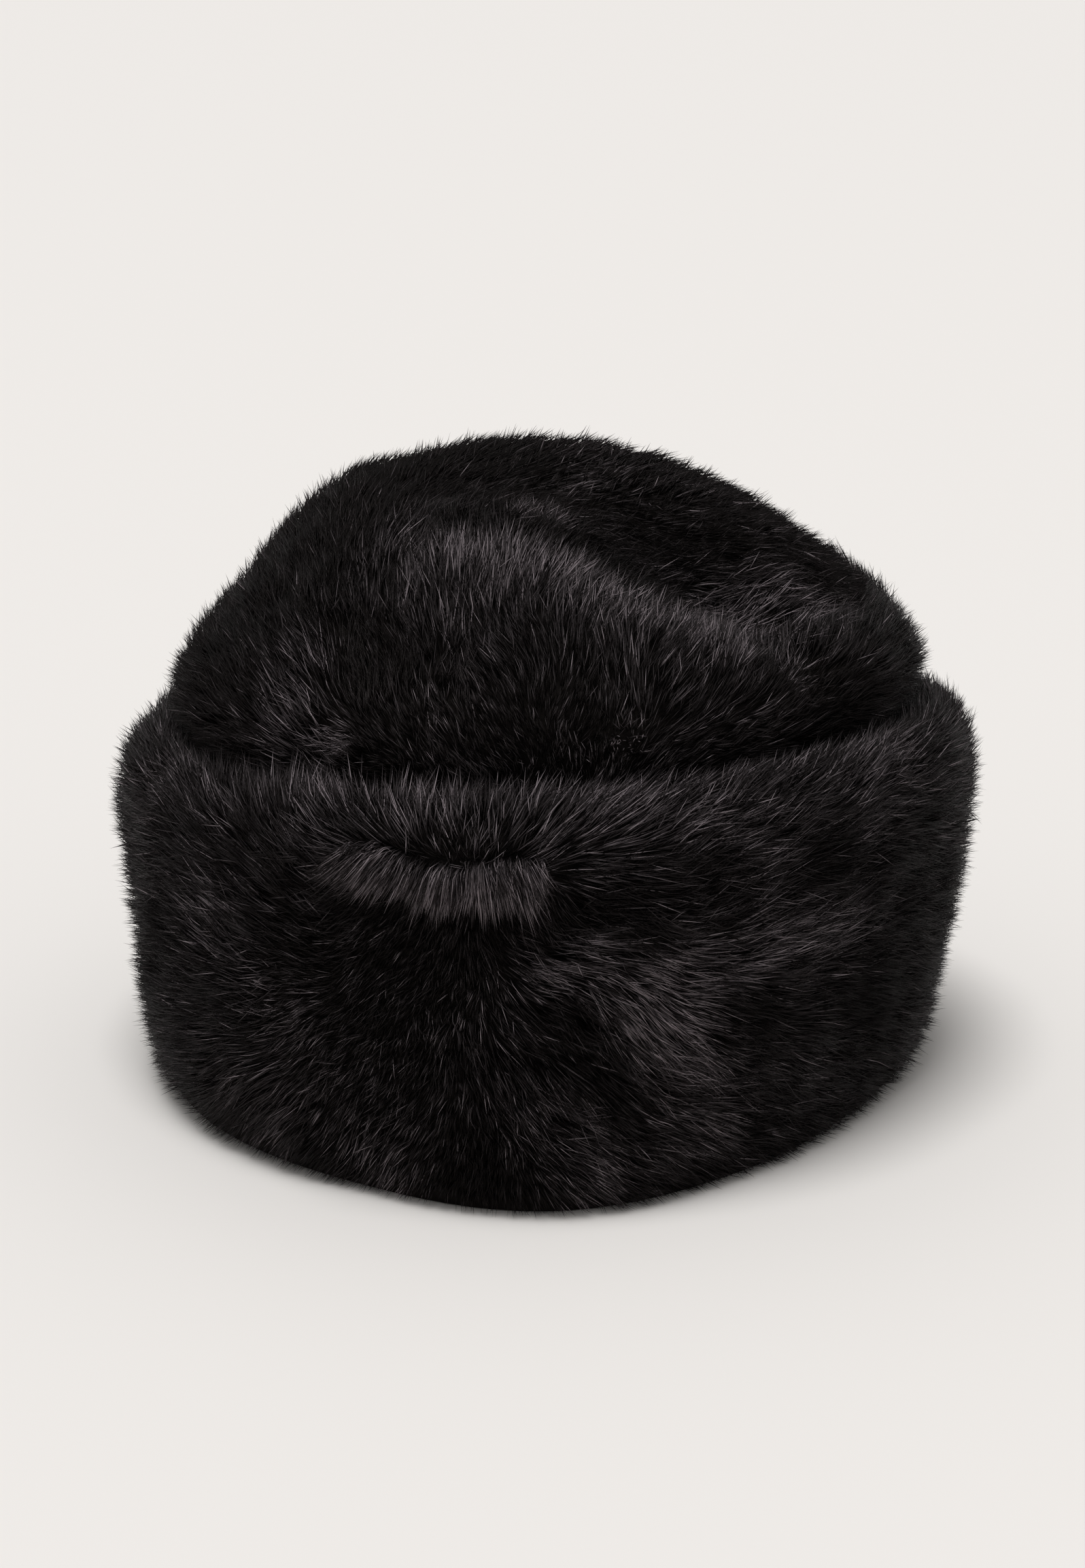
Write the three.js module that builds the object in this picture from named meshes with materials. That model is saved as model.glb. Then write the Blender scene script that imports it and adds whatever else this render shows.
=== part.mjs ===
// A short-pile fur hat in millimetres: a soft, dented crown that stands in a tall turned-up cuff.
// +Z is up, the front of the hat faces -Y, and the origin lies under the middle of its outline.
import * as THREE from "three";

// Driving dimensions
const HEAD_HALF_WIDTH = 83; // hollow for the head, from its middle to an ear
const HEAD_HALF_DEPTH = 93; // and from its middle to the forehead
const CROWN_WALL = 8; // backing cloth with the dense part of its pile
const CROWN_FOOT = 3; // lower edge of the crown, above the fold of the cuff
const WALL_TOP = 55; // the crown's wall is upright below this height
const BULGE_RISE = 10; // the crown is fullest this far above the cuff's top
const APEX_HEIGHT = 171;
const FOLD_START = 90; // the crown's folds begin at this height
const FOLD_FULL = 115; // and have their full depth above this one
const ROLL = 13; // radius of the cuff's rolled top edge
const INNER_ROUND = 3; // rounding of the cuff's foot inside the hat
const BEND_SHARE = 1 - Math.SQRT1_2; // how far the middle of a rounded edge lies from its corner
const BELLY_SHARE = 0.42; // height of the cuff's belly, as a share of its full height
const SEWN_GAP = 0.4; // between pieces that are sewn together
const ROLL_GAP = 2; // between the cuff's roll and the crown inside it
const LOCK_LENGTH = 30; // a combed lock of pile
const LOCK_WIDTH = 18;
const LOCK_RISE = 3.6; // its tip lies this far above its root
const LOCK_SINK = 1.6; // and its root this far below the middle of the pile's outer face
const COLUMNS = 108; // facets round the hat
const FUR_BLACK = 0x151213;

// Each table's rows go evenly round the hat. The first is the front, and the next lie towards +X.
// Radii of the cuff where it meets the ground, at its belly and at its rim, the rounding of its foot, and the
// height of its top edge.
const CUFF_ROWS = [
  { foot: 121, belly: 122, rim: 117, round: 9, top: 113 },
  { foot: 108, belly: 114, rim: 117, round: 5, top: 114 },
  { foot: 102, belly: 110, rim: 117, round: 4, top: 113 },
  { foot: 112, belly: 118, rim: 123, round: 10, top: 109 },
  { foot: 117, belly: 120, rim: 123, round: 7, top: 106 },
  { foot: 117, belly: 119, rim: 120, round: 3, top: 104 },
  { foot: 116, belly: 118, rim: 118, round: 3, top: 102 },
  { foot: 116, belly: 119, rim: 120, round: 3, top: 101 },
  { foot: 116, belly: 119, rim: 122, round: 5, top: 102 },
  { foot: 116, belly: 118, rim: 122, round: 9, top: 103 },
  { foot: 116, belly: 118, rim: 120, round: 12, top: 105 },
  { foot: 116, belly: 119, rim: 117, round: 12, top: 109 },
];
// Radius of the crown above the cuff, how far its side puffs out above that, the radius and height of the
// seam round its tip, and how far the tip domes up.
const CROWN_ROWS = [
  { bulge: 92, puff: 8, seam: 38, crest: 164, dome: 1 },
  { bulge: 99, puff: 8, seam: 60, crest: 149, dome: 5 },
  { bulge: 107, puff: 4, seam: 89, crest: 140, dome: 12 },
  { bulge: 108, puff: 4, seam: 91, crest: 144, dome: 14 },
  { bulge: 106, puff: 4, seam: 86, crest: 158, dome: 10 },
  { bulge: 107, puff: 4, seam: 72, crest: 165, dome: 6 },
  { bulge: 109, puff: 3, seam: 56, crest: 168, dome: 2 },
  { bulge: 101, puff: 9, seam: 45, crest: 167, dome: 1 },
];
// Folds of the crown, seen from above. Each is a valley from one place to the next, with its depth at both
// and its half width.
const FOLDS = [
  { name: "notch on the wall", from: [74, -78], to: [52, -40], depths: [2, 9], width: 13 },
  { name: "notch on the tip", from: [52, -40], to: [6, 0], depths: [9, 2], width: 15 },
  { name: "ripple", from: [0, -50], to: [38, -54], depths: [2, 3], width: 6 },
  { name: "crease", from: [-66, -80], to: [-50, -58], depths: [9, 8], width: 9 },
  { name: "tuck", from: [-44, -66], to: [-20, -74], depths: [8, 6], width: 7 },
];
// How the pile is combed: at each place it lies this way. In between, the nearer rows count for more.
const NAP = [
  { where: "cuff, front rim", place: [-10, -120, 110], lie: [0, 0.4, 1] },
  { where: "cuff, tuft below the parting", place: [-12, -122, 78], lie: [0.1, -0.4, -1] },
  { where: "cuff, left of the front rim", place: [-60, -100, 98], lie: [-0.4, 0.2, 1] },
  { where: "cuff, front left", place: [-85, -80, 55], lie: [-0.8, 0.2, 0.7] },
  { where: "cuff, front left below", place: [-80, -85, 15], lie: [-0.9, 0.3, 0.3] },
  { where: "cuff, left", place: [-120, 0, 50], lie: [0, 0.8, 0.7] },
  { where: "cuff, front below", place: [0, -120, 30], lie: [0.4, -0.4, -0.9] },
  { where: "cuff, front right swirl", place: [42, -105, 42], lie: [1, 0.3, -0.6] },
  { where: "cuff, front right", place: [70, -88, 70], lie: [1, 0.6, 0.2] },
  { where: "cuff, right of the front rim", place: [60, -98, 105], lie: [0.7, 0.4, 0.7] },
  { where: "cuff, front right below", place: [85, -60, 18], lie: [1, 0.8, -0.3] },
  { where: "cuff, right", place: [122, 10, 60], lie: [0.1, 1, 0.3] },
  { where: "cuff, right rim", place: [115, 40, 100], lie: [0, 0.6, 0.8] },
  { where: "cuff, back", place: [0, 118, 55], lie: [0, 0, 1] },
  { where: "crown, front", place: [0, -78, 142], lie: [0.1, 0.4, 0.9] },
  { where: "crown, front right", place: [60, -70, 128], lie: [0.3, 0.3, 0.9] },
  { where: "crown, front left", place: [-72, -55, 135], lie: [0.3, 0.4, 0.9] },
  { where: "crown, left", place: [-98, 5, 135], lie: [0.1, 0.2, 0.9] },
  { where: "crown, right", place: [100, -5, 128], lie: [-0.2, 0.2, 0.9] },
  { where: "crown, back", place: [0, 98, 135], lie: [0, -0.4, 0.9] },
  { where: "tip, left", place: [-35, 10, 169], lie: [1, -0.1, 0] },
  { where: "tip, middle", place: [20, 20, 170], lie: [1, -0.2, -0.1] },
  { where: "tip, right", place: [70, 20, 158], lie: [0.8, -0.1, -0.5] },
];

// The pile of each piece. Its rows of points and the roots of its locks lie between two shares of the cuff's
// face, or two knots of the crown's curve.
const PILE = {
  cuff: { rows: 18, first: 0.4, last: 1, locks: 260, firstRoot: 0.24, lastRoot: 0.96 },
  side: { rows: 9, first: 2.6, last: 4.75, locks: 110, firstRoot: 2.6, lastRoot: 4.7 },
  top: { rows: 5, first: 5.2, last: 5.9, locks: 40, firstRoot: 5, lastRoot: 5.9 },
};
// Shares of the cuff's face and knots of the crown's curve that have rows of points but no locks
const CUFF_FOOT_SHARES = [0, 0.2];
const HIDDEN_WALL_KNOTS = [0, 1, 2];
const APEX_RINGS = [6.25, 6.6];
const SIDE_INSIDE_KNOTS = [4.4, 3.7, 2.6, 0];
const TOP_INSIDE_KNOTS = [6.4, 5.7];

// A smooth closed curve through one column of a table, as a function of the turn from the front.
function aroundHat(rows, column) {
  const knots = rows.map((row) => new THREE.Vector3(row[column]));
  const curve = new THREE.CatmullRomCurve3(knots, true, "catmullrom");
  return (turn) => curve.getPoint(THREE.MathUtils.euclideanModulo(turn, 1)).x;
}

const cuffFoot = aroundHat(CUFF_ROWS, "foot");
const cuffBelly = aroundHat(CUFF_ROWS, "belly");
const cuffRim = aroundHat(CUFF_ROWS, "rim");
const cuffRound = aroundHat(CUFF_ROWS, "round");
const cuffTop = aroundHat(CUFF_ROWS, "top");
const crownBulge = aroundHat(CROWN_ROWS, "bulge");
const crownPuff = aroundHat(CROWN_ROWS, "puff");
const crownSeam = aroundHat(CROWN_ROWS, "seam");
const crownCrest = aroundHat(CROWN_ROWS, "crest");
const crownDome = aroundHat(CROWN_ROWS, "dome");

// Direction away from the hat's axis at a turn, with the front along -Y.
function outward(turn) {
  const angle = turn * 2 * Math.PI;
  return new THREE.Vector3(Math.sin(angle), -Math.cos(angle), 0);
}

// A point of a section, whose x is a radius and whose y is a height, placed round the hat.
function placed(turn, point) {
  return outward(turn).multiplyScalar(point.x).setZ(point.y);
}

// The outward direction of a section's curve at a parameter
function facing(turn, curve, at) {
  const along = curve.getTangent(at);
  return placed(turn, new THREE.Vector2(along.y, -along.x));
}

// Radius of the upright wall round the head hollow, taken outside the wall.
function wallRadius(turn) {
  const width = HEAD_HALF_WIDTH + CROWN_WALL;
  const depth = HEAD_HALF_DEPTH + CROWN_WALL;
  const way = outward(turn);
  return 1 / Math.hypot(way.x / width, way.y / depth);
}

// The cuff's outer face, from the ground round its foot and up to the crest of its roll
function cuffFace(turn) {
  const foot = cuffFoot(turn);
  const round = cuffRound(turn);
  const top = cuffTop(turn);
  const rim = cuffRim(turn);
  return new THREE.SplineCurve([
    new THREE.Vector2(foot - round, 0),
    new THREE.Vector2(foot - round * BEND_SHARE, round * BEND_SHARE),
    new THREE.Vector2(foot, round),
    new THREE.Vector2(cuffBelly(turn), top * BELLY_SHARE),
    new THREE.Vector2(rim, top - ROLL),
    new THREE.Vector2(rim - ROLL, top),
  ]);
}

// The inner side of the cuff's roll, its inner face and the inner edge of the flat that it stands on
function cuffInside(turn) {
  const inside = wallRadius(turn) + SEWN_GAP;
  const middle = new THREE.Vector2(cuffRim(turn) - ROLL, cuffTop(turn) - ROLL);
  const roll = new THREE.EllipseCurve(middle.x, middle.y, ROLL, ROLL, Math.PI / 2, Math.PI);
  return [
    ...roll.getPoints(2).slice(1),
    new THREE.Vector2(inside, WALL_TOP),
    new THREE.Vector2(inside, INNER_ROUND),
    new THREE.Vector2(inside + INNER_ROUND, 0),
  ];
}

// The point halfway between two others, moved by a distance to the right of the way between them
function puffed(first, second, by) {
  const along = second.clone().sub(first).normalize();
  return first.clone().lerp(second, 0.5).add(new THREE.Vector2(along.y, -along.x).multiplyScalar(by));
}

// The crown's section from its lower edge to its apex and a little past it. Its knots lie evenly along the
// curve's parameter.
const SEAM_KNOT = 5;
const APEX_KNOT = 7;
const LAST_KNOT = 8;
function crownCurve(turn) {
  const wall = wallRadius(turn);
  const top = cuffTop(turn);
  const bulge = new THREE.Vector2(crownBulge(turn), top + BULGE_RISE);
  const seam = new THREE.Vector2(crownSeam(turn), crownCrest(turn));
  const apex = new THREE.Vector2(0, APEX_HEIGHT);
  const opposite = new THREE.Vector2(-crownSeam(turn + 0.5), crownCrest(turn + 0.5));
  return new THREE.SplineCurve([
    new THREE.Vector2(wall, CROWN_FOOT),
    new THREE.Vector2(wall, WALL_TOP),
    new THREE.Vector2(cuffRim(turn) - 2 * ROLL - ROLL_GAP, top - ROLL),
    bulge,
    puffed(bulge, seam, crownPuff(turn)),
    seam,
    puffed(seam, apex, crownDome(turn)),
    apex,
    puffed(apex, opposite, crownDome(turn + 0.5)),
  ]);
}

// How far the folds sink the crown at a place. They run out inside the cuff.
function foldDepth(place) {
  const level = place.clone().setZ(0);
  const shown = THREE.MathUtils.smoothstep(place.z, FOLD_START, FOLD_FULL);
  const depths = FOLDS.map(({ from, to, depths: [first, last], width }) => {
    const line = new THREE.Line3(new THREE.Vector3(...from, 0), new THREE.Vector3(...to, 0));
    const share = line.closestPointToPointParameter(level, true);
    const away = line.at(share, new THREE.Vector3()).distanceTo(level);
    return THREE.MathUtils.lerp(first, last, share) * Math.exp(-((away / width) ** 2));
  });
  return shown * Math.max(...depths);
}

// A spot on the outer face of a piece, before its locks: its place and its outward direction
function cuffSpot(turn, share) {
  const face = cuffFace(turn);
  return { place: placed(turn, face.getPoint(share)), normal: facing(turn, face, share) };
}

function crownSpot(turn, knot) {
  const curve = crownCurve(turn);
  const normal = facing(turn, curve, knot / LAST_KNOT);
  const place = placed(turn, curve.getPoint(knot / LAST_KNOT));
  return { place: place.addScaledVector(normal, -foldDepth(place)), normal };
}

// A spot's place, moved by a distance along its outward direction
function raised({ place, normal }, by) {
  return place.clone().addScaledVector(normal, by);
}

// A lock that starts at a spot and lies as the pile is combed there
function lockAt({ place, normal }) {
  const lie = new THREE.Vector3();
  NAP.forEach((row) => {
    const away = place.distanceToSquared(new THREE.Vector3(...row.place));
    lie.addScaledVector(new THREE.Vector3(...row.lie).normalize(), 1 / away ** 2);
  });
  lie.projectOnPlane(normal).normalize();
  return { root: place, lie, across: new THREE.Vector3().crossVectors(lie, normal) };
}

// Locks of one piece's pile, whose roots are spread evenly round the hat and along its sections
const GOLDEN_TURN = (Math.sqrt(5) - 1) / 2;
function spreadLocks({ locks, firstRoot, lastRoot }, spotAt) {
  return Array.from({ length: locks }, (_, i) => {
    const parameter = THREE.MathUtils.lerp(firstRoot, lastRoot, (i + 0.5) / locks);
    return lockAt(spotAt((i * GOLDEN_TURN) % 1, parameter));
  });
}

// A spot's place on the pile's outer face. A lock is lowest at its root, rises to its tip and falls away to
// both sides, and where locks lie over each other the highest shows.
function furred(spot, locks) {
  const heights = locks.map(({ root, lie, across }) => {
    const reach = spot.place.clone().sub(root);
    const share = reach.dot(lie) / LOCK_LENGTH;
    const aside = reach.dot(across) / (LOCK_WIDTH / 2);
    const covered = share > 0 && share < 1 && Math.abs(aside) < 1;
    return covered ? LOCK_RISE * share * (1 - aside ** 2) : 0;
  });
  return raised(spot, Math.max(...heights) - LOCK_SINK);
}

// Rows of points, one for each column round the hat, as a closed surface. The last row joins the first, and
// a row that is only one point is a pole.
function closedSurface(rows) {
  const starts = rows.map((_, i) => rows.slice(0, i).flat().length);
  const index = (row, column) => starts[row] + (column % rows[row].length);
  const triangles = [];
  rows.forEach((_, row) => {
    const next = (row + 1) % rows.length;
    for (let column = 0; column < COLUMNS; column++) {
      const [a, b] = [index(row, column), index(row, column + 1)];
      const [c, d] = [index(next, column + 1), index(next, column)];
      if (a !== b) triangles.push(a, b, c);
      if (c !== d) triangles.push(a, c, d);
    }
  });
  const surface = new THREE.BufferGeometry().setFromPoints(rows.flat()).setIndex(triangles);
  surface.computeVertexNormals();
  return surface;
}

// A row of points round the hat
const TURNS = Array.from({ length: COLUMNS }, (_, i) => i / COLUMNS);
function ring(pointAt) {
  return TURNS.map(pointAt);
}

// Rows of points on the furred outer face of one piece
function furRows(pile, spotAt) {
  const locks = spreadLocks(pile, spotAt);
  return Array.from({ length: pile.rows }, (_, i) => {
    const parameter = THREE.MathUtils.lerp(pile.first, pile.last, i / (pile.rows - 1));
    return ring((turn) => furred(spotAt(turn, parameter), locks));
  });
}

function cuffSurface() {
  const insides = TURNS.map(cuffInside);
  return closedSurface([
    ...CUFF_FOOT_SHARES.map((share) => ring((turn) => cuffSpot(turn, share).place)),
    ...furRows(PILE.cuff, cuffSpot),
    ...insides[0].map((_, i) => TURNS.map((turn, column) => placed(turn, insides[column][i]))),
  ]);
}

const SEAM_SHIFT = 0.008; // in knots, half of the sewn gap at the seam
const SIDE_END = SEAM_KNOT - SEAM_SHIFT;
const TOP_START = SEAM_KNOT + SEAM_SHIFT;

// A row of the crown's points at a knot and a depth below its outer face
function crownRing(knot, depth) {
  return ring((turn) => raised(crownSpot(turn, knot), -depth));
}

function crownSideSurface() {
  return closedSurface([
    ...HIDDEN_WALL_KNOTS.map((knot) => crownRing(knot, 0)),
    ...furRows(PILE.side, crownSpot),
    crownRing(SIDE_END, 0),
    ...[SIDE_END, ...SIDE_INSIDE_KNOTS].map((knot) => crownRing(knot, CROWN_WALL)),
  ]);
}

function crownTopSurface() {
  return closedSurface([
    crownRing(TOP_START, 0),
    ...furRows(PILE.top, crownSpot),
    ...APEX_RINGS.map((knot) => crownRing(knot, 0)),
    [raised(crownSpot(0, APEX_KNOT), 0)],
    [raised(crownSpot(0, APEX_KNOT), -CROWN_WALL)],
    ...[...TOP_INSIDE_KNOTS, TOP_START].map((knot) => crownRing(knot, CROWN_WALL)),
  ]);
}

function furMesh(name, surface) {
  const fur = new THREE.MeshStandardMaterial({ color: FUR_BLACK, roughness: 0.75, metalness: 0 });
  const mesh = new THREE.Mesh(surface, fur);
  mesh.name = name;
  return mesh;
}

const hat = new THREE.Group();
hat.add(
  furMesh("cuff", cuffSurface()),
  furMesh("crown_side", crownSideSurface()),
  furMesh("crown_top", crownTopSurface()),
);
const middle = new THREE.Box3().setFromObject(hat).getCenter(new THREE.Vector3());
hat.position.set(-middle.x, -middle.y, 0);

const part = new THREE.Group();
part.add(hat);
export default part;
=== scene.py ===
"""Dresses a fur hat with a turned-up cuff: underfur on each solid, and a combed pile of hairs over it."""
import logging
import math
from collections.abc import Iterator
from dataclasses import dataclass, replace
from enum import Enum
from typing import Union

import bpy
import numpy as np
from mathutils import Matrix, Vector
from mathutils.bvhtree import BVHTree
from mathutils.kdtree import KDTree


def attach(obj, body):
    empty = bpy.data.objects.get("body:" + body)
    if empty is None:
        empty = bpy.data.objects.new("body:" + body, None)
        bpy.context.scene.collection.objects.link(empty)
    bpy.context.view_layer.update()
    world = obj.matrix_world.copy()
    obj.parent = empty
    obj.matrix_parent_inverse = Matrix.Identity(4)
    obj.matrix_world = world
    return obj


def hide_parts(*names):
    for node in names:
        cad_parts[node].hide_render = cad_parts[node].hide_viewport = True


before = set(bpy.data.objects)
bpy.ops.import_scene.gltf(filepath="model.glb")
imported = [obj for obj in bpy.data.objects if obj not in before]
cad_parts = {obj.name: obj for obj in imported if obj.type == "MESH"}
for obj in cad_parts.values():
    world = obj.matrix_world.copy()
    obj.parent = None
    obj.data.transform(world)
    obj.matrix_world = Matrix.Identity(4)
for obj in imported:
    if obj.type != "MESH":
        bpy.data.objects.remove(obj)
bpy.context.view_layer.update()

MM = 0.001
TINY = 1e-12
OUTSIDE = 0.5
SEED = 23
HAIR_MAP = "OFBake"
log = logging.getLogger("fur_hat")

Value = Union["Wire", float]
Colour = tuple[float, float, float]
Sector = tuple[str, float, float]


class Slot(Enum):
    """The record's material slots."""

    CUFF = "cuff_fur"
    CROWN = "crown_fur"


class Wire:
    """A shader socket that takes part in Python arithmetic."""

    def __init__(self, sheet: "NodeSheet", socket: bpy.types.NodeSocket) -> None:
        """Wraps one output socket of a sheet."""
        self.sheet = sheet
        self.socket = socket

    def __add__(self, other: Value) -> "Wire":
        """Adds a value."""
        return self.sheet.maths("ADD", self, other)

    def __mul__(self, other: Value) -> "Wire":
        """Multiplies by a value."""
        return self.sheet.maths("MULTIPLY", self, other)

    def __sub__(self, other: Value) -> "Wire":
        """Takes a value away."""
        return self.sheet.maths("SUBTRACT", self, other)

    def __rsub__(self, other: Value) -> "Wire":
        """Is taken away from a value."""
        return self.sheet.maths("SUBTRACT", other, self)

    def __pow__(self, other: Value) -> "Wire":
        """Raises to a power."""
        return self.sheet.maths("POWER", self, other)

    __radd__ = __add__
    __rmul__ = __mul__


class NodeSheet:
    """The nodes of one new material."""

    def __init__(self, name: str) -> None:
        """Starts a material with an empty node tree.

        Args:
            name: the material's name.
        """
        self.material = bpy.data.materials.new(name)
        self.material.use_nodes = True
        self.tree = self.material.node_tree
        self.tree.nodes.clear()

    def node(self, kind: str, settings: dict[str, object], inputs: dict[str | int, object]) -> bpy.types.Node:
        """Adds a node.

        Args:
            kind: the node's type.
            settings: its own properties, which are set first.
            inputs: values or wires for its sockets, by name or number.

        Returns:
            The new node.
        """
        made = self.tree.nodes.new(kind)
        for key, value in settings.items():
            setattr(made, key, value)
        for key, value in inputs.items():
            if isinstance(value, Wire):
                self.tree.links.new(value.socket, made.inputs[key])
            else:
                made.inputs[key].default_value = value
        return made

    def wire(self, kind: str, settings: dict[str, object], inputs: dict[str | int, object],
             output: str | int = 0) -> Wire:
        """Adds a node and wraps one of its outputs.

        Args:
            kind: the node's type.
            settings: its own properties.
            inputs: values or wires for its sockets.
            output: the output's name or number.

        Returns:
            The wrapped output.
        """
        return Wire(self, self.node(kind, settings, inputs).outputs[output])

    def maths(self, operation: str, first: Value, second: Value) -> Wire:
        """Adds a Math node for two values."""
        return self.wire("ShaderNodeMath", {"operation": operation}, {0: first, 1: second})

    def blend(self, share: Value, first: Colour | Wire, second: Colour | Wire) -> Wire:
        """Mixes two colours.

        Args:
            share: how much of the second shows.
            first: a colour or a wire.
            second: a colour or a wire.

        Returns:
            The mixed colour.
        """
        ends = [end if isinstance(end, Wire) else (*end, 1.0) for end in (first, second)]
        return self.wire("ShaderNodeMix", {"data_type": "RGBA"}, {0: share, 6: ends[0], 7: ends[1]}, 2)

    def bump(self, height: Wire, depth: float, strength: float) -> Wire:
        """Makes a bumpy normal from a height of up to a depth in metres."""
        return self.wire("ShaderNodeBump", {}, {"Height": height, "Distance": depth, "Strength": strength})

    def surface(self, inputs: dict[str | int, object]) -> bpy.types.Material:
        """Ends the sheet in one Principled shader.

        Args:
            inputs: values or wires for the shader's sockets.

        Returns:
            The finished material.
        """
        shader = self.wire("ShaderNodeBsdfPrincipled", {}, inputs)
        self.node("ShaderNodeOutputMaterial", {}, {"Surface": shader})
        return self.material


@dataclass(frozen=True)
class PileFinish:
    """Black guard hairs, darkest at the root, with a cool gloss and a pale painted highlight towards the
    tips.
    """

    name: str = "combed_pile"
    root: Colour = (0.0016, 0.0013, 0.0011)
    tip: Colour = (0.0048, 0.0039, 0.0034)
    painted_highlight: Colour = (0.47, 0.402, 0.428)
    gloss_tint: Colour = (1.0, 0.87, 0.87)
    root_depth: float = 1.5
    contrast: float = 2.0
    roughness: float = 0.32
    roughness_spread: float = 0.12
    specular: float = 0.08

    def material(self) -> bpy.types.Material:
        """Makes the finish, which reads a hair's shade and the share of its length from its own map.

        Returns:
            The material.
        """
        sheet = NodeSheet(self.name)
        spot = sheet.wire("ShaderNodeUVMap", {"uv_map": HAIR_MAP}, {})
        parts = sheet.node("ShaderNodeSeparateXYZ", {}, {0: spot})
        shade, along = Wire(sheet, parts.outputs[0]), Wire(sheet, parts.outputs[1])
        body = sheet.blend(along ** self.root_depth, self.root, self.tip)
        # The paler colour mixed in here is painted highlight: each hair turns towards it near its tip as far
        # as its shade, which is painted light times a random tone.
        colour = sheet.blend(shade ** self.contrast * along, body, self.painted_highlight)
        return sheet.surface({
            "Base Color": colour,
            "Roughness": shade * self.roughness_spread + (self.roughness - self.roughness_spread / 2),
            "Specular IOR Level": self.specular,
            "Specular Tint": (*self.gloss_tint, 1.0),
        })


@dataclass(frozen=True)
class UnderfurFinish:
    """The dense dark wool under the pile."""

    name: str = "underfur"
    dark: Colour = (0.003, 0.0024, 0.0022)
    light: Colour = (0.010, 0.0080, 0.0074)
    specular: float = 0.05
    roughness: float = 0.95
    roughness_spread: float = 0.2
    tuft_scale: float = 420.0
    bump_depth: float = 0.0008
    bump_strength: float = 0.8

    def material(self) -> bpy.types.Material:
        """Makes the finish.

        Returns:
            The material.
        """
        sheet = NodeSheet(self.name)
        spot = sheet.wire("ShaderNodeTexCoord", {}, {}, "Object")
        wool = sheet.wire("ShaderNodeTexNoise", {}, {"Vector": spot, "Scale": self.tuft_scale, "Detail": 4.0})
        bump = sheet.bump(wool, self.bump_depth, self.bump_strength)
        return sheet.surface({
            "Base Color": sheet.blend(wool, self.dark, self.light),
            "Roughness": self.roughness - wool * self.roughness_spread,
            "Specular IOR Level": self.specular,
            "Normal": bump,
        })


@dataclass(frozen=True)
class BackingFinish:
    """The plain woven back of the fur, seen from inside the hat."""

    name: str = "woven_backing"
    dark: Colour = (0.010, 0.009, 0.009)
    light: Colour = (0.026, 0.023, 0.022)
    roughness: float = 0.9
    roughness_spread: float = 0.15
    weft_share: float = 0.6
    yarn_scale: float = 900.0
    bump_depth: float = 0.0003
    bump_strength: float = 0.6

    def material(self) -> bpy.types.Material:
        """Makes the finish.

        Returns:
            The material.
        """
        sheet = NodeSheet(self.name)
        spot = sheet.wire("ShaderNodeTexCoord", {}, {}, "Object")
        bands = {"wave_type": "BANDS", "bands_direction": "Z"}
        weft = sheet.wire("ShaderNodeTexWave", bands, {"Vector": spot, "Scale": self.yarn_scale / 3}, 1)
        slub = sheet.wire("ShaderNodeTexNoise", {}, {"Vector": spot, "Scale": self.yarn_scale, "Detail": 2.0})
        weave = weft * self.weft_share + slub * (1 - self.weft_share)
        bump = sheet.bump(weave, self.bump_depth, self.bump_strength)
        return sheet.surface({
            "Base Color": sheet.blend(weave, self.dark, self.light),
            "Roughness": self.roughness - slub * self.roughness_spread,
            "Normal": bump,
        })


@dataclass(frozen=True)
class FloorFinish:
    """A plain, light-coloured surface."""

    name: str = "pale_floor"
    colour: Colour = (0.80, 0.775, 0.75)
    roughness: float = 0.75

    def material(self) -> bpy.types.Material:
        """Makes the finish."""
        sheet = NodeSheet(self.name)
        return sheet.surface({"Base Color": (*self.colour, 1.0), "Roughness": self.roughness})


def unit(vectors: np.ndarray) -> np.ndarray:
    """Scales each row to a length of one."""
    return vectors / np.maximum(np.linalg.norm(vectors, axis=-1, keepdims=True), TINY)


def flattened(vectors: np.ndarray, normals: np.ndarray) -> np.ndarray:
    """Takes out of each row what points along its normal."""
    return vectors - normals * np.sum(vectors * normals, axis=-1, keepdims=True)


def turned(vectors: np.ndarray, normals: np.ndarray, angles: np.ndarray) -> np.ndarray:
    """Turns each row, which lies across its normal, about that normal."""
    aside = np.cross(normals, vectors)
    return vectors * np.cos(angles)[:, None] + aside * np.sin(angles)[:, None]


def leaning(lies: np.ndarray, normals: np.ndarray, angles: np.ndarray) -> np.ndarray:
    """Lifts each row, which lies across its normal, towards that normal."""
    return lies * np.cos(angles)[:, None] + normals * np.sin(angles)[:, None]


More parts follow.
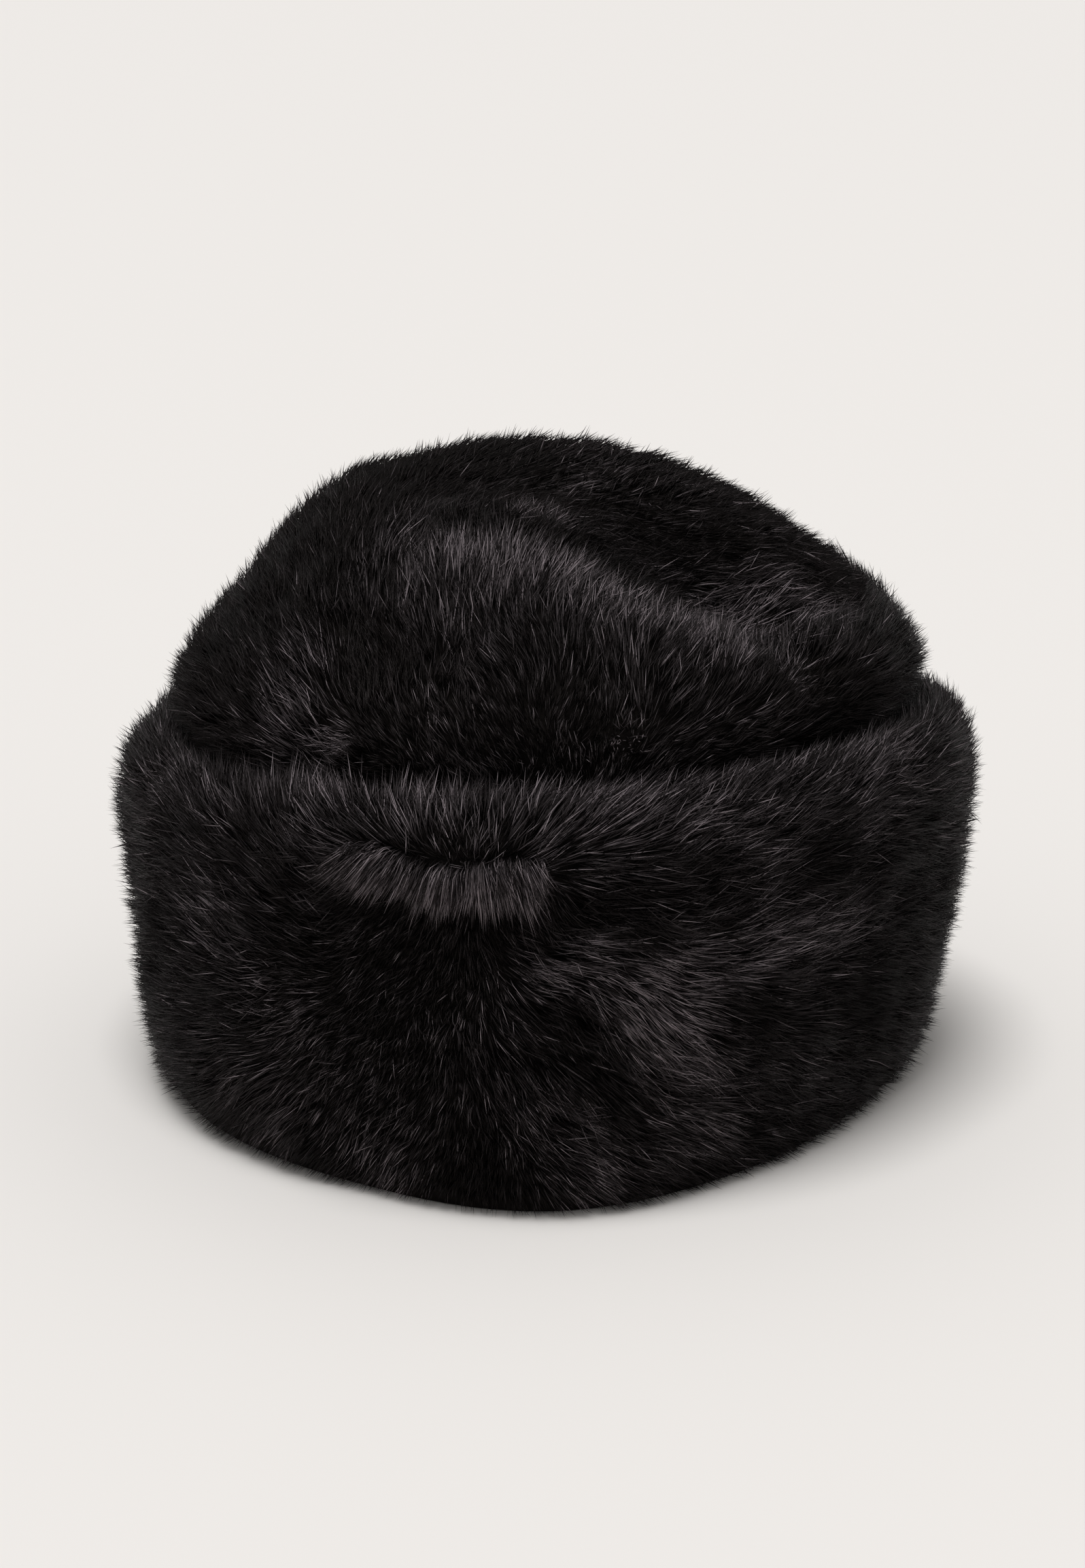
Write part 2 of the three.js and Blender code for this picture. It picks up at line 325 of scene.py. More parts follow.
class Skin:
    """The smooth outer form that a pile grows from."""

    BACK_THINNING = 0.5
    FULL_FRONT = 0.5
    EVENING = 5 * MM

    def __init__(self, pieces: list[bpy.types.Object], lowest: float) -> None:
        """Reads the outer faces of finished meshes.

        Args:
            pieces: meshes whose outer vertices are in their pile group.
            lowest: the height in metres above which the pile grows.
        """
        corners, faces, owners, self.sizes = [], [], [], []
        start = 0
        for number, piece in enumerate(pieces):
            mesh = piece.data
            count = len(mesh.vertices)
            place = np.empty(count * 3)
            mesh.vertices.foreach_get("co", place)
            mesh.calc_loop_triangles()
            triangles = np.empty(len(mesh.loop_triangles) * 3, np.int64)
            mesh.loop_triangles.foreach_get("vertices", triangles)
            place = place.reshape(-1, 3)
            triangles = triangles.reshape(-1, 3)
            group = piece.vertex_groups[Underfur.GROUP].index
            outer = np.array([any(g.group == group for g in v.groups) for v in mesh.vertices])
            faces.append(triangles[outer[triangles].all(1)] + start)
            owners.append(np.full(len(faces[-1]), number))
            corners.append(place)
            self.sizes.append(count)
            start += count
        self.corners = np.vstack(corners)
        self.faces = np.vstack(faces)
        self.normals = self.even_normals()
        self.owners = np.concatenate(owners)
        self.tree = BVHTree.FromPolygons(self.corners.tolist(), self.faces.tolist())
        one, two, three = (self.corners[self.faces[:, k]] for k in range(3))
        self.areas = np.linalg.norm(np.cross(two - one, three - one), axis=1) / 2
        middles = (one + two + three) / 3
        self.areas[middles[:, 2] < lowest] = 0
        forward = -middles[:, 1] / np.maximum(np.hypot(middles[:, 0], middles[:, 1]), TINY)
        self.shares = self.areas * (1 - self.BACK_THINNING * (self.FULL_FRONT - forward).clip(0, 1))

    def even_normals(self) -> np.ndarray:
        """Works out the outward direction at each corner, evened out across seams.

        Returns:
            The directions, which are zero away from the form.
        """
        one, two, three = (self.corners[self.faces[:, k]] for k in range(3))
        facing = np.cross(two - one, three - one)
        total = np.zeros_like(self.corners)
        for k in range(3):
            np.add.at(total, self.faces[:, k], facing)
        used = np.unique(self.faces)
        tree = KDTree(len(used))
        for index in used:
            tree.insert(self.corners[index], index)
        tree.balance()
        even = np.zeros_like(total)
        for index in used:
            near = [found for _, found, _ in tree.find_range(self.corners[index], self.EVENING)]
            even[index] = total[near].sum(0)
        even[used] = unit(even[used])
        return even

    def parts(self) -> list[np.ndarray]:
        """Gives the outward directions of each mesh in turn."""
        return np.split(self.normals, np.cumsum(self.sizes)[:-1])

    def scatter(self, count: int, rng: np.random.Generator) -> tuple[np.ndarray, np.ndarray, np.ndarray]:
        """Spreads points over the form, closer together in front.

        Args:
            count: how many points.
            rng: the source of chance.

        Returns:
            Their places, their outward directions and the numbers of the faces that they are on.
        """
        steps = (np.arange(count) + rng.random(count)) / count
        face = np.searchsorted(np.cumsum(self.shares) / self.shares.sum(), steps).clip(0, len(self.areas) - 1)
        first, second = rng.random(count), rng.random(count)
        over = first + second > 1
        first[over], second[over] = 1 - first[over], 1 - second[over]
        shares = np.stack([1 - first - second, first, second], 1)[:, :, None]
        places = (self.corners[self.faces[face]] * shares).sum(1)
        return places, unit((self.normals[self.faces[face]] * shares).sum(1)), face

    def nearest(self, points: np.ndarray) -> tuple[np.ndarray, np.ndarray]:
        """Finds the form under each point.

        Args:
            points: places near the form.

        Returns:
            The nearest places on the form, and its smooth outward directions there.
        """
        places = np.empty_like(points)
        face = np.empty(len(points), np.int64)
        find = self.tree.find_nearest
        for i, point in enumerate(points):
            place, _, face[i], _ = find(Vector(point))
            places[i] = place
        one, two, three = (self.corners[self.faces[face, k]] for k in range(3))
        weights = np.stack([
            np.linalg.norm(np.cross(two - places, three - places), axis=1),
            np.linalg.norm(np.cross(three - places, one - places), axis=1),
            np.linalg.norm(np.cross(one - places, two - places), axis=1),
        ], 1)[:, :, None]
        return places, unit((self.normals[self.faces[face]] * weights).sum(1))

    def hit(self, start: Vector, way: Vector) -> tuple[np.ndarray, np.ndarray]:
        """Finds where a straight line meets the form.

        Args:
            start: a place outside the form.
            way: the line's direction.

        Returns:
            The place, and the outward direction there.
        """
        place, _, _, _ = self.tree.ray_cast(start, way)
        if place is None:
            raise ValueError(f"no pile where the line from {start} meets the hat")
        places, normals = self.nearest(np.array([place]))
        return places[0], normals[0]


@dataclass(frozen=True)
class WallComb:
    """How the pile is combed at one place on a wall of the hat.

    The turn is in degrees from the front towards +X and the height in millimetres. The way is in degrees
    clockwise from straight up, as seen from outside. The fifth field is painted light: how pale the hairs'
    tips are drawn there, high where it paints highlights on hairs that catch the light, low where it paints
    shade in hollows, valleys and near the foot. Stand is how steeply the hairs leave the backing, and free
    is how little they follow its curve, from 0 to 1.
    """

    where: str
    turn: float
    height: float
    way: float
    painted_light: float = 0.4
    stand: float = 16.0
    free: float = 0.0

    def anchor(self, skin: Skin) -> tuple[np.ndarray, np.ndarray]:
        """Finds the row's place and the direction that the pile lies in there.

        Args:
            skin: the form that the pile grows from.

        Returns:
            The place and the direction.
        """
        angle = math.radians(self.turn)
        outward = Vector((math.sin(angle), -math.cos(angle), 0))
        place, normal = skin.hit(outward * OUTSIDE + Vector((0, 0, self.height * MM)), -outward)
        upward = unit(flattened(np.array([[0.0, 0.0, 1.0]]), normal[None]))[0]
        right = np.cross(upward, normal)
        way = math.radians(self.way)
        return place, upward * math.cos(way) + right * math.sin(way)


@dataclass(frozen=True)
class TipComb:
    """How the pile is combed at one place on the tip, seen from above.

    The place is in millimetres, and the way in degrees anticlockwise from +X. The fifth field is painted
    light, as for a wall comb.
    """

    where: str
    x: float
    y: float
    way: float
    painted_light: float = 0.4
    stand: float = 16.0
    free: float = 0.0

    def anchor(self, skin: Skin) -> tuple[np.ndarray, np.ndarray]:
        """Finds the row's place and the direction that the pile lies in there.

        Args:
            skin: the form that the pile grows from.

        Returns:
            The place and the direction.
        """
        place, normal = skin.hit(Vector((self.x * MM, self.y * MM, OUTSIDE)), Vector((0, 0, -1)))
        way = math.radians(self.way)
        level = np.array([[math.cos(way), math.sin(way), 0.0]])
        return place, unit(flattened(level, normal[None]))[0]


# The fifth number of each row is painted light: painted highlights where lying hairs catch the light, as on
# the rim, the swirl and the second band, and painted shade in the hollows, behind the tuft and along the
# foot.
CUFF_COMBS = tuple(WallComb(*row) for row in (
    ("rim, far left", -64, 96, -68, 0.50, 30, 0.5),
    ("rim, left", -50, 102, -45, 0.56, 22, 0.5),
    ("rim, front left", -39, 105, -30, 0.56, 20, 0.5),
    ("rim, left of the middle", -28, 104, -35, 0.70, 20, 0.5),
    ("rim, over the tuft", -20, 107, -16, 0.76, 20, 0.5),
    ("rim, middle", -11, 107, 2, 0.78, 20, 0.5),
    ("rim, over the tuft's right end", -3, 107, 20, 0.82, 20, 0.5),
    ("rim, right of the middle", 6, 107, 46, 0.92, 20, 0.5),
    ("rim, front right", 18, 106, 62, 0.88, 20, 0.5),
    ("rim, right front corner", 32, 106, 64, 0.70, 22, 0.5),
    ("rim, right", 50, 102, 76, 0.66, 24, 0.4),
    ("rim, far right", 74, 92, 88, 0.38, 34, 0.5),
    ("rim, right side", 92, 98, 62, 0.34, 34, 0.5),
    ("above the parting, left end", -27, 94.5, -68, 0.70, 18),
    ("above the parting, left", -19, 97, -40, 0.66, 20),
    ("above the parting", -10, 98, 5, 0.66, 20),
    ("above the parting, right", -3, 98, 55, 0.68, 20),
    ("parting's right end", 5, 96, 88, 0.66, 18),
    ("tuft, left end", -27, 87, -128, 0.22, 40, 0.2),
    ("tuft, left", -22, 88.5, -142, 0.18, 44, 0.2),
    ("tuft, left of its middle", -17, 89.5, -160, 0.14, 46, 0.2),
    ("tuft, middle", -11, 89.5, 180, 0.14, 46, 0.2),
    ("tuft, right", -6, 89.5, 164, 0.14, 46, 0.2),
    ("tuft, right end", -1, 88.5, 146, 0.18, 40, 0.2),
    ("under the tuft, left", -24, 78, -150, 0.38, 52, 0.2),
    ("under the tuft", -13, 79, 170, 0.40, 50, 0.3),
    ("under the tuft, right", -3, 80, 120, 0.40, 48, 0.2),
    ("right of the tuft", 8, 91, 92, 0.34, 26),
    ("right of the tuft, lower", 5, 86, 92, 0.20, 30),
    ("front right, upper", 17, 91, 80, 0.34, 24),
    ("front right, under the rim", 29, 94, 74, 0.46, 24),
    ("hollow under the right rim", 38, 90, 74, 0.12, 38),
    ("right corner, upper", 46, 94, 66, 0.66, 26),
    ("right, upper", 58, 80, 90, 0.22, 36, 0.3),
    ("front right, combed up", 20, 80, 62, 0.36, 20),
    ("right corner, middle", 33, 77, 72, 0.38, 24),
    ("right corner, towards the side", 45, 76, 74, 0.22, 28),
    ("front, right of the middle", 7, 79, 98, 0.28, 26),
    ("swirl, start", -1, 74, 98, 1.20, 26),
    ("swirl, upper bend", 6, 71, 110, 1.60, 32, 0.1),
    ("swirl, middle", 11, 64, 124, 1.75, 36, 0.1),
    ("swirl, lower bend", 11, 55, 132, 1.55, 36, 0.1),
    ("swirl, lower right", 14, 45, 118, 1.10, 32, 0.1),
    ("swirl, end", 17, 33, 114, 0.80, 30),
    ("left of the swirl", 2, 58, 124, 0.24, 40, 0.1),
    ("second band, left", 19, 67, 88, 0.90, 24),
    ("second band", 26, 66, 76, 1.35, 22),
    ("second band, right", 34, 67, 72, 1.30, 22),
    ("second band, end", 43, 66, 72, 0.75, 26),
    ("hollow right of the swirl", 26, 55, 96, 0.14, 52, 0.1),
    ("hollow right of the swirl, lower", 29, 44, 100, 0.18, 48, 0.1),
    ("right, below the second band", 36, 54, 76, 0.36, 26),
    ("hollow at the right corner", 48, 44, 82, 0.06, 48, 0.1),
    ("hollow at the right corner, lower", 56, 40, 86, 0.06, 46, 0.2),
    ("left of the swirl, lower", 5, 44, 122, 0.26, 40, 0.1),
    ("right side, middle", 58, 58, 88, 0.20, 36, 0.3),
    ("right side, lower", 74, 38, 92, 0.20, 42, 0.5),
    ("front, below the parting", -10, 64, 150, 0.40, 50, 0.3),
    ("front, lower middle", -4, 47, 122, 0.50, 44, 0.1),
    ("front right, lower", 10, 34, 118, 0.42, 34),
    ("front right corner, lower", 25, 32, 100, 0.46, 28),
    ("right corner, lower", 40, 28, 100, 0.32, 32),
    ("front, low", 2, 22, 112, 0.74, 40, 0.1),
    ("front right, low", 14, 16, 116, 0.46, 32),
    ("right, low", 36, 12, 108, 0.30, 34, 0.2),
    ("right side, low", 72, 14, 105, 0.24, 40, 0.4),
    ("foot, left", -52, 5, -112, 0.20, 52, 0.3),
    ("foot, front left", -30, 5, -120, 0.20, 58, 0.3),
    ("foot, front", -8, 5, 142, 0.20, 58, 0.3),
    ("foot, front right", 14, 5, 122, 0.22, 46, 0.2),
    ("foot, right", 38, 5, 112, 0.22, 42, 0.2),
    ("left, upper", -74, 74, -82, 0.28, 42, 0.5),
    ("left corner, upper", -52, 86, -66, 0.32, 22),
    ("front left, upper", -39, 87, -56, 0.34, 20),
    ("left of the tuft", -32, 82, -50, 0.28, 26),
    ("left, middle", -79, 50, -88, 0.26, 42, 0.5),
    ("front left, streaks", -47, 64, -54, 0.62, 22),
    ("front left, towards the middle", -34, 66, -60, 0.24, 40, 0.1),
    ("left corner, middle", -62, 46, -66, 0.32, 32, 0.3),
    ("front left, lower", -46, 44, -80, 0.36, 38, 0.1),
    ("front, pointing forward", -22, 62, 175, 0.40, 48, 0.3),
    ("front, pointing forward lower", -30, 44, -150, 0.44, 46, 0.3),
    ("front, pointing forward low", -16, 40, 160, 0.44, 46, 0.2),
    ("left corner, low", -62, 22, -96, 0.30, 38, 0.4),
    ("front left, low", -44, 20, -140, 0.54, 44, 0.2),
    ("front, low left", -26, 16, 180, 0.70, 48, 0.2),
    ("right side", 92, 60, 88, 0.20, 42, 0.5),
    ("back right", 125, 60, 78, 0.46, 30, 0.3),
    ("back, right of the middle", 155, 60, 48, 0.46, 28, 0.3),
    ("back", 182, 62, 6, 0.46, 28, 0.3),
    ("back, left of the middle", 210, 60, -42, 0.46, 28, 0.3),
    ("back left", 240, 58, -72, 0.46, 30, 0.3),
    ("left side", 265, 58, -86, 0.24, 42, 0.5),
    ("back rim, right", 125, 94, 50, 0.50, 28, 0.5),
    ("back rim", 180, 92, 0, 0.50, 28, 0.5),
    ("back rim, left", 235, 92, -50, 0.50, 28, 0.5),
    ("back right, low", 125, 18, 105, 0.40, 34, 0.3),
    ("back, low", 180, 18, 178, 0.36, 38, 0.3),
    ("back left, low", 235, 18, -112, 0.40, 34, 0.3),
))
# The fifth number of each row is painted light: painted highlights along the ridge and the left fold, and
# painted shade in the valley beside the fold, the tuck, the right bulge and the left shoulder.
SIDE_COMBS = tuple(WallComb(*row) for row in (
    ("left", -92, 126, -58, 0.12, 42, 0.5),
    ("left of the corner", -70, 133, -60, 0.10, 32, 0.3),
    ("left corner", -56, 137, -48, 0.12, 26),
    ("left fold", -48, 131, -34, 0.64, 20),
    ("left fold, low", -46, 122, -46, 0.66, 24),
    ("valley right of the fold", -38, 136, -20, 0.06, 44, 0.1),
    ("valley right of the fold, low", -36, 126, -14, 0.06, 52, 0.2),
    ("tuck", -30, 134, -12, 0.12, 40, 0.1),
    ("front, left of the middle", -24, 143, -11, 0.42, 28),
    ("front", -14, 144, -31, 0.40, 28),
    ("front, middle", -4, 144, -36, 0.40, 28),
    ("front, right of the middle", 10, 142, 8, 0.40, 28),
    ("front right", 25, 136, 18, 0.36, 28),
    ("below the notch", 38, 131, 44, 0.26, 30),
    ("right bulge", 54, 127, 30, 0.12, 32),
    ("right corner", 70, 131, 66, 0.18, 32, 0.2),
    ("right", 84, 128, 78, 0.14, 42, 0.5),
    ("left shoulder", -76, 148, -56, 0.10, 36, 0.5),
    ("left corner, upper", -60, 153, -34, 0.16, 26, 0.2),
    ("front left, upper", -46, 154, -8, 0.34, 22),
    ("front left crest", -66, 161, -22, 0.16, 32, 0.5),
    ("crest, left", -48, 161, 9, 0.62, 24, 0.2),
    ("ridge, left", -30, 159, -10, 0.85, 20),
    ("ridge, left of the middle", -13, 160, 20, 1.15, 18),
    ("ridge, middle", 3, 157, 40, 1.35, 18),
    ("ridge, right of the middle", 16, 152, 48, 1.45, 18),
    ("ridge, towards the notch", 27, 146, 46, 1.45, 18),
    ("ridge, at the notch", 37, 142, 50, 1.20, 18),
    ("notch, front", 46, 136, 52, 0.60, 18),
    ("notch, right slope", 58, 135, 44, 0.42, 20),
    ("under the ridge, left", -27, 151, -10, 0.58, 22),
    ("under the ridge", -9, 151, 6, 0.66, 22),
    ("under the ridge, right", 8, 149, 26, 0.70, 22),
    ("under the ridge, towards the notch", 23, 141, 36, 0.66, 22),
    ("left corner, low", -56, 120, -38, 0.20, 46, 0.1),
    ("front left, low", -26, 126, -12, 0.30, 58, 0.3),
    ("front, low", -12, 128, -28, 0.32, 58, 0.3),
    ("front right of the middle, low", 6, 129, 4, 0.32, 58, 0.3),
    ("front right, low", 34, 122, 40, 0.30, 56, 0.3),
    ("right, low", 62, 119, 60, 0.22, 54, 0.3),
    ("left, low", -76, 116, -60, 0.14, 50, 0.3),
    ("back right", 120, 130, 30, 0.40, 30, 0.3),
    ("back", 180, 134, 0, 0.40, 30, 0.3),
    ("back left", 240, 134, -30, 0.40, 32, 0.3),
))
# The fifth number of each row is painted light: painted highlights at the notch along the seam, and painted
# shade behind the ridge, on the shelf and at the edges.
TIP_COMBS = tuple(TipComb(*row) for row in (
    ("behind the ridge, left", -24, -31, 84, 0.24, 24),
    ("behind the ridge", 2, -34, 60, 0.12, 24),
    ("shelf, left", 18, -42, 46, 0.10, 26),
    ("shelf", 34, -46, 42, 0.10, 26),
    ("shelf, at the seam", 26, -34, 30, 0.40, 20),
    ("notch, at the seam", 40, -38, 34, 1.10, 18),
    ("notch, right of the seam", 57, -31.5, 24, 1.20, 20),
    ("right end of the seam", 66, -24, 20, 0.80, 22),
    ("left edge", -50, 8, 60, 0.08, 34, 0.4),
    ("left", -42, -3, 24, 0.12, 26, 0.2),
    ("front left", -26, -11, -6, 0.28, 22),
    ("front edge", -4, -19, -10, 0.32, 22),
    ("front edge, right", 14, -20, -24, 0.28, 24),
    ("back left", -40, 32, 8, 0.08, 40, 0.5),
    ("left of the middle", -24, 20, 18, 0.10, 36, 0.3),
    ("right of the ruffle", 12, 22, -32, 0.32, 44, 0.3),
    ("front of the middle", 20, 3, -58, 0.34, 44, 0.2),
    ("right of the middle", 37, 3, -48, 0.34, 44, 0.2),
    ("right, front", 44, -10, -22, 0.14, 40),
    ("right", 56, -2, -36, 0.32, 42, 0.2),
    ("back right", 58, 36, -26, 0.16, 44, 0.5),
    ("right edge", 70, -8, -34, 0.24, 38, 0.3),
    ("back", 10, 66, -14, 0.26, 42, 0.5),
))


class Nap:
    """The combed direction of a whole pile, and its painted light, between the places where they are given.
    """

    SHARPNESS = 2.8
    SOFTENING = 4 * MM
    BATCH = 4000

    def __init__(self, combs: tuple[WallComb | TipComb, ...], skin: Skin) -> None:
        """Places each row on the form.

        Args:
            combs: the rows.
            skin: the form that the pile grows from.
        """
        anchors = [comb.anchor(skin) for comb in combs]
        self.places = np.array([place for place, _ in anchors])
        self.ways = np.array([way for _, way in anchors])
        self.habits = np.array([(math.radians(comb.stand), comb.free, comb.painted_light) for comb in combs])

    def at(self, places: np.ndarray, normals: np.ndarray) -> tuple[np.ndarray, np.ndarray, np.ndarray]:
        """Works out how the pile lies.

        Args:
            places: points on the form.
            normals: the outward directions there.

        Returns:
            The directions that hairs lie in, how firmly they are combed, from 0 along a parting to 1, and
            rows of the angles at which they leave the backing, how little they follow its curve and their
            painted light, which paints highlights and shade.
        """
        lies = np.empty_like(places)
        habits = np.empty((3, len(places)))
        for part in np.array_split(np.arange(len(places)), max(1, len(places) // self.BATCH)):
            away = ((places[part, None] - self.places) ** 2).sum(2) + self.SOFTENING ** 2
            weights = away ** -self.SHARPNESS
            weights /= weights.sum(1, keepdims=True)
            lies[part] = weights @ self.ways
            habits[:, part] = (weights @ self.habits).T
        firm = np.linalg.norm(lies, axis=1)
        return unit(flattened(lies, normals)), firm, habits


@dataclass(frozen=True)
class Ruffle:
    """A spot where the pile is ruffled, at a turn in degrees.

    Its height and radius are in millimetres. The amount is how much it is ruffled, and its last field is
    painted highlight added there.
    """

    where: str
    turn: float
    height: float
    radius: float
    amount: float
    painted_light: float

    EDGE_POWER = 4


@dataclass(frozen=True)
class Forelock:
    """A lock that hangs out from a parting.

    It starts and ends at turns in degrees, at a height in millimetres, and its hairs fan out between two
    ways. Its length is in millimetres, and stand is how far it stands away from the wall in degrees.
    """

    where: str
    turns: tuple[float, float]
    height: float
    ways: tuple[float, float]
    hang: float
    stand: float
    hairs: int

    WAVE_MM = 1.2
    WAVES = 9
    ROOT_BAND = 0.55
    SIZES = (0.4, 1.5)
    TUFT_SIZES = (0.55, 1.4)
    SHORTEST = 0.75
    SWELL = 0.3
    SWELL_LEAN = 1.3
    SWELL_POWER = 0.8
    BEND = 0.45
    KEPT_STAND = 0.7
    CLINGS = (0.7, 1.2)
    MIDDLE_CLING = 0.3
    DARK_END = 0.45

    def heights(self, share: np.ndarray, chance: np.ndarray) -> np.ndarray:
        """Gives the heights of roots, at shares of the lock's width, in a wavy band."""
        wave = self.WAVE_MM * np.sin(share * self.WAVES)
        return self.height + wave - chance * self.hang * self.ROOT_BAND

    def profile(self, share: np.ndarray) -> np.ndarray:
        """Gives how long the lock is at shares of its width."""
        return self.SHORTEST + self.SWELL * np.sin(math.pi * share ** self.SWELL_LEAN) ** self.SWELL_POWER

    def anchors(self, skin: Skin, *rows: np.ndarray) -> tuple[np.ndarray, np.ndarray]:
        """Finds the places of hairs and the directions that they hang in.

        Args:
            skin: the form that the lock grows from.
            rows: the hairs' turns, heights and ways.

        Returns:
            The places and the directions.
        """
        found = [WallComb(self.where, *row).anchor(skin) for row in zip(*rows)]
        return np.array([place for place, _ in found]), np.array([way for _, way in found])


@dataclass(frozen=True)
class Tufts:
    """Hairs that cling together.

    The spacing is in millimetres, cling is the share by which tips draw together, and the spreads are of
    direction and lift in degrees, of length as a share, of the tips' rise in millimetres and of shade.
    """

    spacing: float
    cling: float
    turn: float
    lift: float
    length: float
    rise: float
    shade: float


@dataclass(frozen=True)
class Hairs:
    """Least painted light of one kind of hair, its sizes in millimetres, its fray in degrees, and its tufts.
    """

    painted_light: float
    length_spread: float
    width: float
    depth: float
    fray: float
    tufts: tuple[Tufts, ...]


@dataclass(frozen=True)
class NapHairs(Hairs):
    """Hairs along the nap: lift in degrees, sizes in millimetres, and how little they cling to the form."""

    lift: float
    length: float
    mid_rise: float
    tip_rise: float
    loose: float


COMBED = NapHairs(
    painted_light=0, lift=2, length=16.5, length_spread=0.2, width=0.27, depth=5, mid_rise=-1.0, tip_rise=1.6,
    loose=0.5, fray=15,
    tufts=(Tufts(11, 0.12, 12, 6, 0.08, 0.5, 0.16), Tufts(2.6, 0.42, 10, 6, 0.10, 0.6, 0.36)),
)
SHORT = replace(COMBED, length=13.5, width=0.25, depth=3.5, mid_rise=-0.6)
# Guard hairs keep a least painted highlight, so some stand out pale even where the rows paint shade.
GUARD = NapHairs(
    painted_light=0.28, lift=32, length=17, length_spread=0.2, width=0.25, depth=3, mid_rise=1.4, tip_rise=5.2,
    loose=0.9, fray=18, tufts=(Tufts(3.4, 0.6, 16, 8, 0.14, 1.0, 0.2),),
)
# The lock's least painted light is the painted highlight along its hanging hairs.
LOCK = Hairs(
    painted_light=0.41, length_spread=0.24, width=0.25, depth=3, fray=13,
    tufts=(Tufts(6, 0.15, 8, 7, 0.13, 0, 0.25), Tufts(2.2, 0.35, 9, 6, 0.16, 0, 0.3)),
)


@dataclass
class Strands:
    """Hairs as arrays: three points along each, width, shade, the root's outward direction and the solid.

    Each shade is painted light times a random tone.
    """

    paths: np.ndarray
    widths: np.ndarray
    shades: np.ndarray
    normals: np.ndarray
    owners: np.ndarray

    FACES = ((2, 1, 0), (3, 2, 0), (1, 3, 0), (1, 2, 4), (2, 3, 4), (3, 1, 4))
    CORNERS = 5
    MAP_ACROSS = (0.0, -0.012, 0.0, 0.012, 0.0)
    MAP_ALONG = (0.0, 0.5, 0.5, 0.5, 1.0)
    MAP_SIDE = 0.05
    MAP_END = 0.02

    def arrays(self) -> tuple[np.ndarray, ...]:
        """Gives the arrays in order."""
        return self.paths, self.widths, self.shades, self.normals, self.owners

    def chosen(self, which: np.ndarray) -> "Strands":
        """Picks some of the hairs."""
        return Strands(*(array[which] for array in self.arrays()))

    def joined(self, *others: "Strands") -> "Strands":
        """Puts sets of hairs together."""
        return Strands(*(np.concatenate(same) for same in zip(*(s.arrays() for s in (self, *others)))))

    def parted(self, sectors: tuple[Sector, ...]) -> Iterator[tuple[str, "Strands"]]:
        """Parts the hairs by the turns of their roots from the front.

        Args:
            sectors: the name of each part, and where it starts and ends in degrees.

        Returns:
            Each name with its hairs.
        """
        roots = self.paths[:, 0]
        turns = np.degrees(np.arctan2(roots[:, 0], -roots[:, 1])) % 360
        for name, first, last in sectors:
            yield name, self.chosen((turns - first) % 360 < last - first)

    def piece(self, name: str, finish: bpy.types.Material) -> bpy.types.Object:
        """Joins the hairs as one mesh of closed slivers, three-sided in the middle and pointed at both ends.

        Args:
            name: the piece's name.
            finish: its material.

        Returns:
            The new object.
        """
        count = len(self.paths)
        root, middle, tip = (self.paths[:, k] for k in range(3))
        along = unit(tip - root)
        aside = unit(np.cross(along, self.normals))
        out = np.cross(aside, along)
        spin = self.shades * 2 * math.pi
        corners = [root]
        for third in range(3):
            angle = spin + third * 2 * math.pi / 3
            swing = aside * np.cos(angle)[:, None] - out * np.sin(angle)[:, None]
            corners.append(middle + swing * (self.widths / 2)[:, None])
        corners.append(tip)
        vertices = np.stack(corners, 1).reshape(-1, 3)
        starts = self.CORNERS * np.arange(count)[:, None, None]
        faces = (np.array(self.FACES)[None] + starts).reshape(-1)
        across = self.MAP_SIDE + (1 - 2 * self.MAP_SIDE) * self.shades[:, None] + np.array(self.MAP_ACROSS)
        lengthways = self.MAP_END + (1 - 2 * self.MAP_END) * np.array(self.MAP_ALONG)
        spots = np.stack([across, np.broadcast_to(lengthways, across.shape)], 2).reshape(-1, 2)
        mesh = bpy.data.meshes.new(name)
        mesh.vertices.add(len(vertices))
        mesh.vertices.foreach_set("co", vertices.astype(np.float32).ravel())
        mesh.loops.add(len(faces))
        mesh.loops.foreach_set("vertex_index", faces.astype(np.int32))
        mesh.polygons.add(len(faces) // 3)
        mesh.polygons.foreach_set("loop_start", np.arange(0, len(faces), 3, dtype=np.int32))
        mesh.polygons.foreach_set("use_smooth", np.ones(len(faces) // 3, bool))
        mesh.uv_layers.new(name=HAIR_MAP).uv.foreach_set("vector", spots[faces].astype(np.float32).ravel())
        mesh.update(calc_edges=True)
        mesh.materials.append(finish)
        made = bpy.data.objects.new(name, mesh)
        bpy.context.scene.collection.objects.link(made)
        return made


